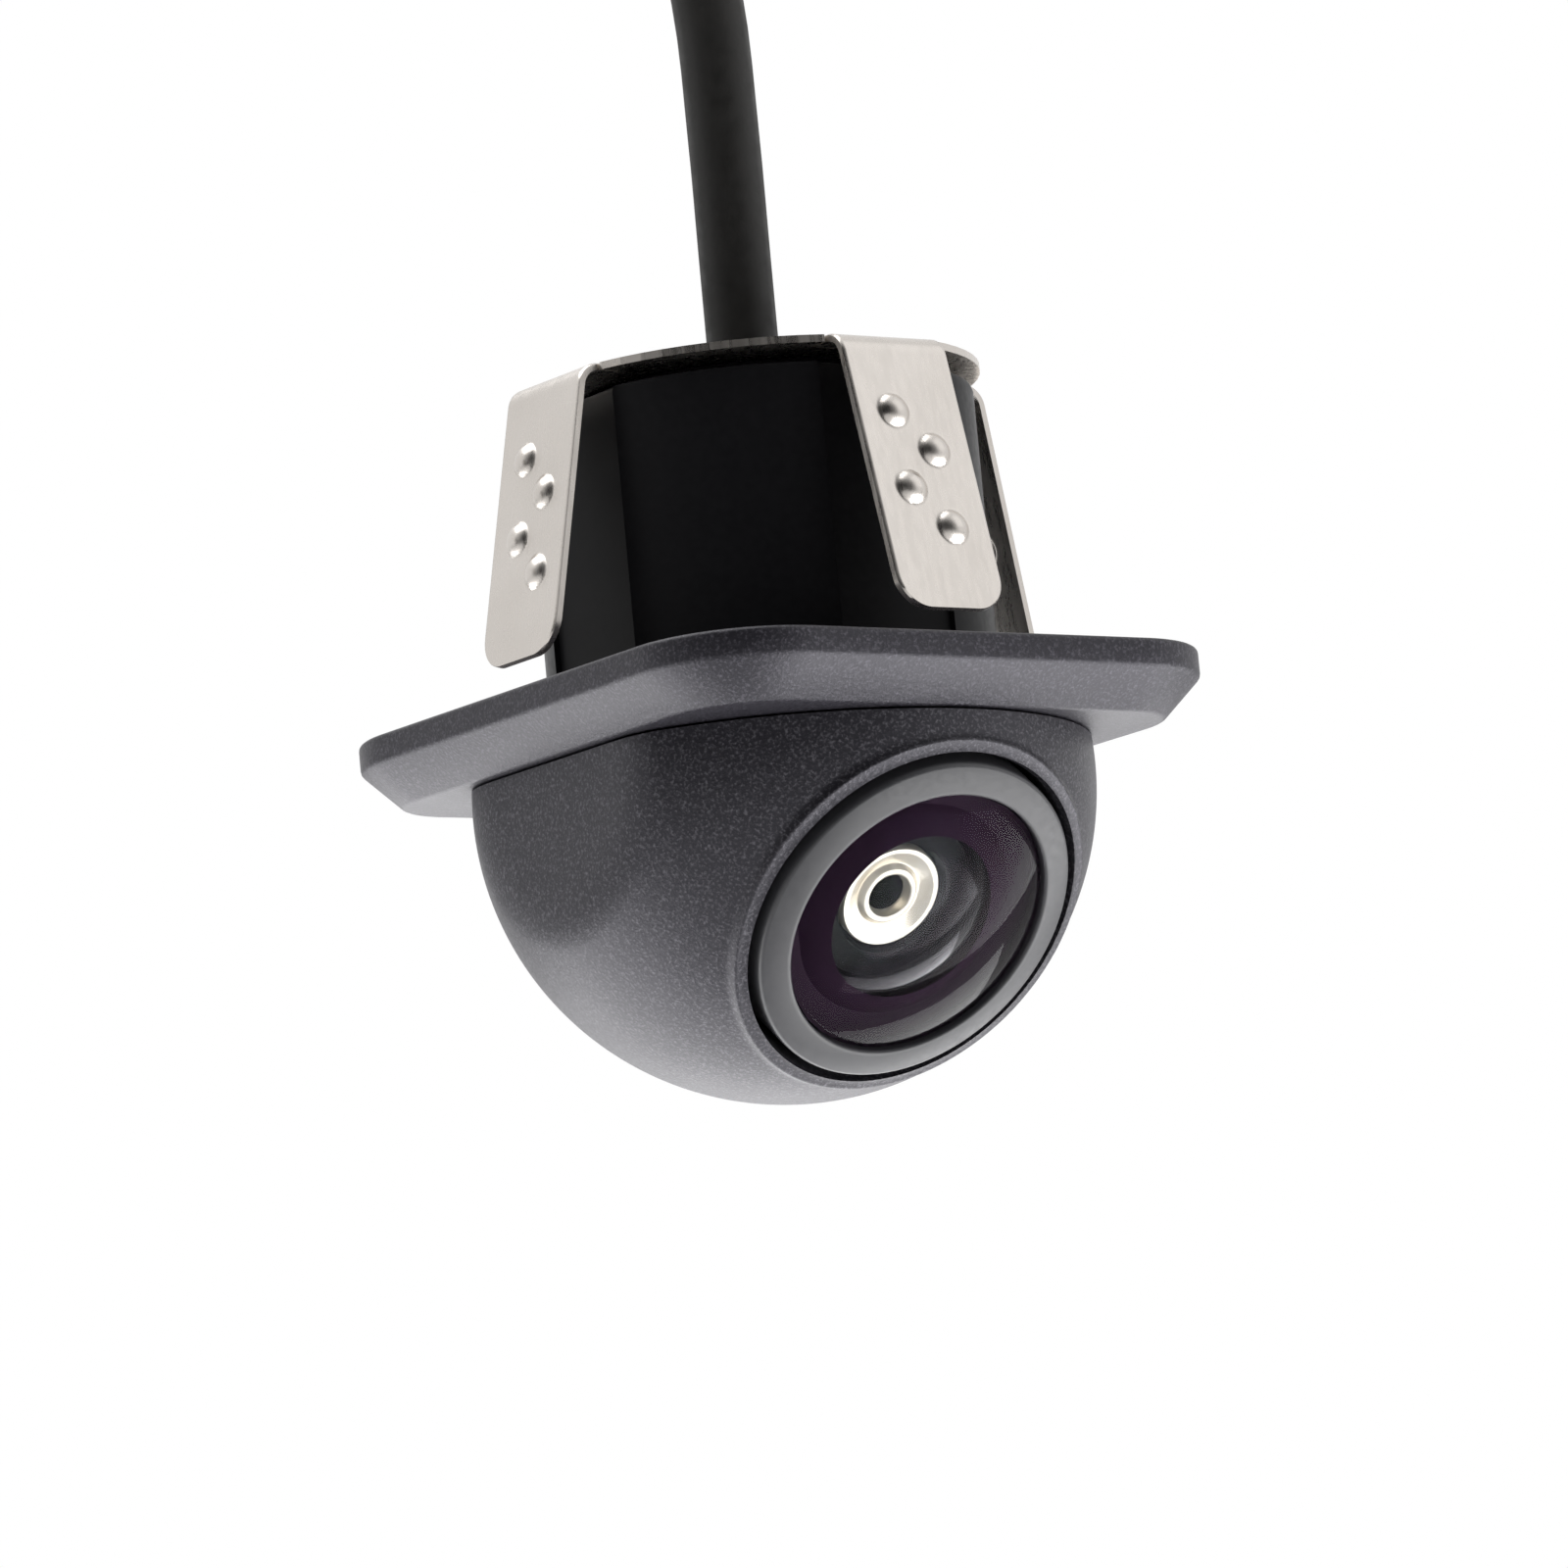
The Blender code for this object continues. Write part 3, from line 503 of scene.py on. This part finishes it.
def add_dome(material):
    """The nose: a ball with flat sides and a low collar round the lens, hollow inside."""
    rim = acos(COLLAR_TOP / sqrt(COLLAR_TOP**2 + LENS_BORE_R**2))
    steps = 300
    outer_rows = [((index / 110) ** 1.7) for index in range(111)]
    inner_rows = [index / 40 for index in range(41)]
    columns = []
    for step in range(steps):
        round_axis = 2 * pi * step / steps
        outer_end = crossing(dome_reach, rim, round_axis)
        inner_end = crossing(inner_reach, rim, round_axis)
        column = []
        for share in outer_rows:
            angle = rim + (outer_end - rim) * share
            direction = lens_direction(angle, round_axis)
            column.append(DOME_CENTRE + direction * dome_reach(direction, angle))
        for share in reversed(inner_rows[1:]):
            angle = rim + (inner_end - rim) * share
            direction = lens_direction(angle, round_axis)
            column.append(DOME_CENTRE + direction * inner_reach(direction, angle))
        columns.append(column)
    loops = [list(loop) for loop in zip(*columns)]
    piece = sheet_mesh("dome_fine", loops, material, joined=True)
    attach(piece, "camera")
    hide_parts("dome_shell")


def add_bezel(material):
    profile = [(radius * MM, height * MM) for radius, height in BEZEL_SECTION]
    piece = sheet_mesh("bezel_fine", turned_loops(profile, 200), material, joined=True)
    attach(piece, "camera")
    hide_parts("bezel")


def cap_points(radius, top, edge, count):
    """A spherical cap's profile from near its crown to its rim."""
    rise = top - edge
    ball = (radius**2 + rise**2) / (2 * rise)
    span = acos((ball - rise) / ball)
    return [
        (ball * sin(span * index / count), top - ball + ball * cos(span * index / count))
        for index in range(1, count + 1)
    ]


def add_front_glass(material, edge_paint):
    """The bulging front element: a cap outside, a shallow bowl inside, and blackened round the bowl's middle."""
    bowl = cap_points(BOWL_R, GLASS_BASE + BOWL_RISE, GLASS_BASE, 16)
    crown = cap_points(GLASS_R - 0.06 * MM, GLASS_CROWN, GLASS_EDGE + 0.05 * MM, 28)
    profile = [*crown, (GLASS_R, GLASS_EDGE - 0.05 * MM), (GLASS_R, GLASS_BASE), *reversed(bowl)]
    piece = sheet_mesh("front_glass_fine", turned_loops(profile, 144), material, capped=True)
    paint(piece, edge_paint, lambda at: at.z < GLASS_EDGE and Vector((at.x, at.y)).length > CLEAR_R)
    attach(piece, "camera")
    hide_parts("front_glass")


def add_inner_optics(lens_material, ring_reflection_material, black):
    """The second element, and the ring under it with a black seat round it; the ring's light yellowish colour is a
    painted reflection.
    """
    crown = cap_points(INNER_LENS_R, INNER_LENS_CROWN, INNER_LENS_EDGE, 20)
    base = [(INNER_LENS_R, INNER_LENS_BASE), (0.05 * MM, INNER_LENS_BASE)]
    lens = sheet_mesh("inner_lens_fine", turned_loops([*crown, *base], 96), lens_material, capped=True)
    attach(lens, "camera")
    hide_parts("inner_lens")
    profile = [(radius * MM, height * MM) for radius, height in RING_SECTION]
    painted_reflection_ring = sheet_mesh("inner_ring_fine", turned_loops(profile, 96), ring_reflection_material, joined=True)
    paint(painted_reflection_ring, black, lambda at: at.z < RING_SEAT)
    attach(painted_reflection_ring, "camera")
    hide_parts("inner_ring")


def leg_path(name):
    """A leg's middle line as (point, normal, length so far), in its own frame of outward and up."""
    splay = radians(SPLAY[name])
    half = CLIP_THICK / 2
    bend_x = LEG_R - TAB_ROOT - BEND_R * 0.78
    centre = Vector((bend_x, half - BEND_R))
    middle_r = BEND_R - half
    rows = [(Vector((bend_x * step / 6, 0)), Vector((0, 1))) for step in range(6)]
    turns = [radians(90) + (splay - radians(90)) * step / 16 for step in range(17)]
    rows += [(centre + middle_r * Vector((cos(t), sin(t))), Vector((cos(t), sin(t)))) for t in turns]
    slope = Vector((sin(splay), -cos(splay)))
    normal = Vector((cos(splay), sin(splay)))
    pivot_z = CLIP_UNDER + half
    foot = Vector((LEG_R + (CLIP_UNDER - LEG_END_Z) * tan(splay) - TAB_ROOT, LEG_END_Z - pivot_z))
    last = centre + BEND_R * normal
    length = (foot - last).dot(slope)
    start = rows[-1][0]
    count = 104
    straight = length - LEG_CORNER
    for step in range(1, count + 1):
        rows.append((start + slope * (straight * step / count), normal))
    for step in range(1, 13):
        turn = radians(90 * step / 12)
        rows.append((start + slope * (straight + LEG_CORNER * sin(turn) * 0.999), normal))
    return rows, slope, last, pivot_z, length


def dimple_height(from_middle):
    ball = (DIMPLE_R**2 + DIMPLE_RISE**2) / (2 * DIMPLE_RISE)
    if from_middle >= DIMPLE_R:
        return 0.0
    return sqrt(ball**2 - from_middle**2) - (ball - DIMPLE_RISE)


def add_leg(name, material):
    rows, slope, last, pivot_z, length = leg_path(name)
    splay = radians(SPLAY[name])
    first_drop = (pivot_z + last.y - DIMPLE_TOP_Z) / cos(splay)
    dimples = [
        (first_drop + index * DIMPLE_PITCH, DIMPLE_SIDE if index % 2 else -DIMPLE_SIDE) for index in range(4)
    ]
    start = rows[22][0]
    half = CLIP_THICK / 2
    edge = 0.07 * MM
    columns = [-1 + 2 * index / 56 for index in range(57)]
    turn = Matrix.Rotation(radians(LEG_TURN[name]), 4, "Z")
    loops = []
    for point, normal in rows:
        along = (point - start).dot(slope) if normal.x > 0 and point.y < start.y else -1
        left = length - along
        narrow = LEG_CORNER - sqrt(max(LEG_CORNER**2 - max(LEG_CORNER - left, 0) ** 2, 0)) if along > 0 else 0
        reach = LEG_HALF - narrow
        lifts = []
        for column in columns:
            side = column * reach
            lift = max(dimple_height(sqrt((along - drop) ** 2 + (side - where) ** 2)) for drop, where in dimples)
            lifts.append((side, lift))
        ring = []
        for side, lift in lifts:
            inset = min(1, (reach - abs(side)) / edge) if reach > edge else 1
            ring.append((side, half - edge * (1 - sqrt(max(1 - (1 - inset) ** 2, 0))) + lift))
        ring.append((reach + 0.0001 * MM, 0))
        for side, lift in reversed(lifts):
            ring.append((side, -half + min(lift, DIMPLE_RISE)))
        ring.append((-reach - 0.0001 * MM, 0))
        loop = []
        for side, out in ring:
            flat = point + normal * out
            loop.append(turn @ Vector((TAB_ROOT + flat.x, side, pivot_z + flat.y)))
        loops.append(loop)
    piece = sheet_mesh(f"leg_{name}_fine", loops, material, capped=True)
    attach(piece, f"leg_{name}")
    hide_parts(f"leg_{name}")


def dress(node_name, material):
    """Gives a carried-over CAD node its material."""
    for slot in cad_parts[node_name].material_slots:
        slot.material = material


def add_light(name, location, size, power, target=(0, 0, 0), colour=(1, 1, 1)):
    data = bpy.data.lights.new(name, "AREA")
    data.shape = "RECTANGLE"
    data.size, data.size_y = size
    data.energy = power
    data.color = colour
    light = bpy.data.objects.new(name, data)
    light.location = location
    direction = Vector(target) - Vector(location)
    light.rotation_euler = direction.to_track_quat("-Z", "Y").to_euler()
    light.visible_camera = False
    bpy.context.scene.collection.objects.link(light)
    return light


def add_floor():
    mesh = bpy.data.meshes.new("floor")
    shape = bmesh.new()
    bmesh.ops.create_grid(shape, x_segments=1, y_segments=1, size=6)
    shape.to_mesh(mesh)
    shape.free()
    floor = bpy.data.objects.new("floor", mesh)
    floor.location = (0, 0, FLOOR_Z)
    mesh.materials.append(principled("floor_white", (0.9, 0.9, 0.9), 0.9)[0])
    bpy.context.scene.collection.objects.link(floor)


def add_world():
    """White behind the object, and a studio that is darker round the camera's side for everything else."""
    world = bpy.data.worlds.new("studio")
    world.use_nodes = True
    tree = world.node_tree
    output = tree.nodes["World Output"]
    backdrop = tree.nodes["Background"]
    backdrop.inputs["Color"].default_value = (1, 1, 1, 1)
    backdrop.inputs["Strength"].default_value = 1.0
    place = node(tree, "ShaderNodeTexCoord").outputs["Generated"]
    toward = (sin(AZIMUTH), -cos(AZIMUTH), 0.1)
    facing = node(tree, "ShaderNodeVectorMath", {0: place, 1: toward}, operation="DOT_PRODUCT").outputs["Value"]
    level = node(
        tree, "ShaderNodeMapRange",
        {"Value": facing, "From Min": 0.25, "From Max": 0.8, "To Min": 0.9, "To Max": 0.02},
    ).outputs["Result"]
    studio = node(tree, "ShaderNodeBackground", {"Color": (1, 1, 1, 1), "Strength": level})
    seen = node(tree, "ShaderNodeLightPath").outputs["Is Camera Ray"]
    mixed = node(tree, "ShaderNodeMixShader", {"Fac": seen, 1: studio.outputs[0], 2: backdrop.outputs[0]})
    tree.links.new(mixed.outputs[0], output.inputs["Surface"])
    bpy.context.scene.world = world


add_camera()
cable_material = plain_material(
    "cable_jacket_pvc", (0.008, 0.0075, 0.007), (0.014, 0.013, 0.012), 0.52, 0, 1400, 0.02 * MM
)
set_specular(cable_material, 0.3)
add_cord(cable_material)

# The second colour of each spark plastic is the colour of its specks, partly painted glints
flange_plastic = spark_plastic("housing_spark", (0.007, 0.0064, 0.0095), (0.085, 0.08, 0.096))
# The dome's copy of the same plastic is lighter in both colours: painted light on the dome's middle
dome_plastic_painted_light = spark_plastic("dome_spark_painted_light", (0.009, 0.0085, 0.0115), (0.125, 0.12, 0.135))
barrel_plastic = smooth_plastic("barrel_black", (0.0068, 0.0066, 0.0076), (0.01, 0.0098, 0.011))
satin = plain_material("bezel_grey", (0.03, 0.03, 0.034), (0.04, 0.04, 0.044), 0.38, 0, 3000, 0.002 * MM)
steel = rolled_steel("clip_steel", (0.7, 0.66, 0.62), (0.6, 0.56, 0.52), 0.28)
glass = clear_glass("coated_glass", (0.8, 0.79, 0.83), (0.1, 0.07, 0.16), 0.01)
clear = clear_glass("inner_glass", (0.92, 0.95, 0.93), (0.3, 0.42, 0.32), 0.01)
filter_glass = clear_glass("filter_blue", (0.55, 0.75, 0.8), (1.0, 0.6, 0.5), 0.02)
lens_black = plain_material("lens_black_anodised", (0.004, 0.004, 0.005), (0.006, 0.006, 0.007), 0.45)
set_specular(lens_black, 0.04)
edge_paint = plain_material("glass_edge_black", (0.018, 0.008, 0.018), (0.024, 0.012, 0.024), 0.5)
set_specular(edge_paint, 0.04)
gold = plain_material("plated_gold", (0.9, 0.74, 0.45), (0.8, 0.62, 0.36), 0.28, 1.0, 1200)
# Half-metallic light yellow for the ring under the inner lens: a painted reflection, standing in for the bright
# ring seen inside the lens
ring_painted_reflection = plain_material("inner_ring_painted_reflection", (0.95, 0.84, 0.66), (0.98, 0.92, 0.8), 0.24, 0.55, 900, 0.03 * MM)
rear_coating = plain_material("rear_lens_coating", (0.3, 0.02, 0.03), (0.02, 0.16, 0.07), 0.12, 0.7, 700)
rubber = plain_material("rubber_black", (0.012, 0.012, 0.012), (0.024, 0.024, 0.024), 0.62, 0, 1800, 0.01 * MM)
seal_rubber = plain_material("rubber_orange", (0.72, 0.2, 0.04), (0.6, 0.16, 0.03), 0.55, 0, 1800, 0.01 * MM)
board_green = plain_material("solder_mask", (0.015, 0.12, 0.05), (0.03, 0.2, 0.09), 0.32, 0, 900, 0.01 * MM)
chip_black = plain_material("moulded_epoxy", (0.02, 0.02, 0.023), (0.035, 0.035, 0.04), 0.5, 0, 4000, 0.01 * MM)
pale_plastic = plain_material("pale_moulding", (0.72, 0.69, 0.6), (0.8, 0.77, 0.7), 0.45)
barrel_steel = plain_material("turned_steel", (0.62, 0.6, 0.57), (0.7, 0.68, 0.65), 0.28, 1.0, 1500)
plug_black = plain_material("plug_nylon", (0.02, 0.02, 0.022), (0.03, 0.03, 0.032), 0.4, 0, 2600, 0.01 * MM)
wires = {
    "wire_1": ((0.55, 0.02, 0.02), (0.7, 0.03, 0.03)),
    "wire_2": ((0.012, 0.012, 0.012), (0.03, 0.03, 0.03)),
    "wire_3": ((0.72, 0.5, 0.02), (0.8, 0.6, 0.05)),
    "wire_4": ((0.75, 0.75, 0.72), (0.85, 0.85, 0.83)),
}

add_housing(flange_plastic, barrel_plastic)
add_dome(dome_plastic_painted_light)
add_bezel(satin)
add_front_glass(glass, edge_paint)
add_inner_optics(clear, ring_painted_reflection, lens_black)
for leg in LEG_TURN:
    add_leg(leg, steel)

dressing = {
    steel: ["clip_plate"],
    barrel_steel: [
        "clip_screw_1", "clip_screw_2", "sensor_screw_1", "sensor_screw_2", "crystal", "capacitor", "plug_nut",
    ],
    rear_coating: ["rear_lens"],
    filter_glass: ["ir_filter"],
    lens_black: ["lens_barrel", "aperture_stop"],
    gold: ["plug_pin_1", "plug_pin_2", "plug_pin_3", "plug_pin_4"],
    rubber: ["dome_seal", "lens_seal", "cable_bushing", "cable_core", "coil_tie", "plug_relief"],
    seal_rubber: ["plug_seal"],
    board_green: ["sensor_board", "processor_board"],
    chip_black: ["processor", "image_sensor"],
    pale_plastic: ["board_connector", "plug_insert"],
    plug_black: ["plug_body", "lens_holder"],
}
for material, names in dressing.items():
    for name in names:
        dress(name, material)
for name, (colour, shade) in wires.items():
    dress(name, plain_material(name + "_insulation", colour, shade, 0.4))

add_floor()
add_world()
bpy.context.scene.view_settings.view_transform = "Standard"
add_light("below", (0.0, 0.24, -0.12), (0.46, 0.42), 1.75, (0.0, 0.24, 1))
add_light("side", (0.24, -0.17, -0.12), (0.44, 0.32), 1.75, (0.24, -0.17, 1))
add_light("key", (0.35, -0.3, 0.35), (0.45, 0.45), 0.18)
add_light("top", (-0.1, 0.15, 0.6), (0.6, 0.6), 2.5)
